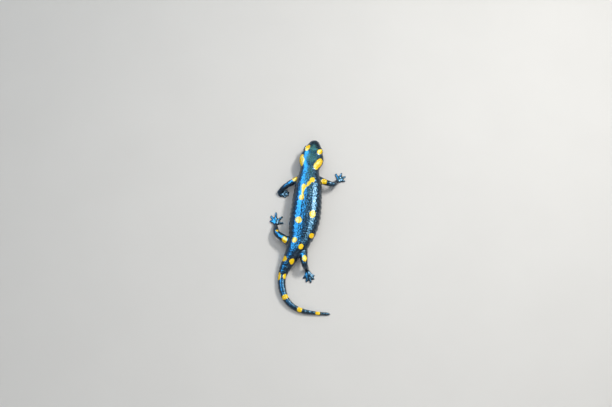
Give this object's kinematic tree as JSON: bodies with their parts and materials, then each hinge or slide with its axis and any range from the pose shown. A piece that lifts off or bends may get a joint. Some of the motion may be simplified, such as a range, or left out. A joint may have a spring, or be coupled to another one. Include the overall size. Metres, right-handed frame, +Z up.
{
  "type": "fire salamander",
  "caption": "Life-size still model of a fire salamander walking with its tail curled, glossy black with yellow spots.",
  "frame": {"origin": "on the floor, under the middle of the bounding box", "axes": "+Y the way the animal faces, +X its right side, +Z up"},
  "size_m": [0.0638, 0.1494, 0.0192],
  "materials": {
    "skin": "wet, finely grained blue-black skin with warm yellow spots",
    "eye": "polished black"
  },
  "bodies": {
    "root": {"head": "skin", "jaw": "skin", "left_eye": "eye", "right_eye": "eye", "neck": "skin", "trunk": "skin", "hips": "skin", "tail_base": "skin", "tail_middle": "skin", "tail_end": "skin", "tail_tip": "skin", "left_upper_arm": "skin", "left_forearm": "skin", "left_hand": "skin", "right_upper_arm": "skin", "right_forearm": "skin", "right_hand": "skin", "left_thigh": "skin", "left_shank": "skin", "left_foot": "skin", "right_thigh": "skin", "right_shank": "skin", "right_foot": "skin"}
  },
  "joints": []
}
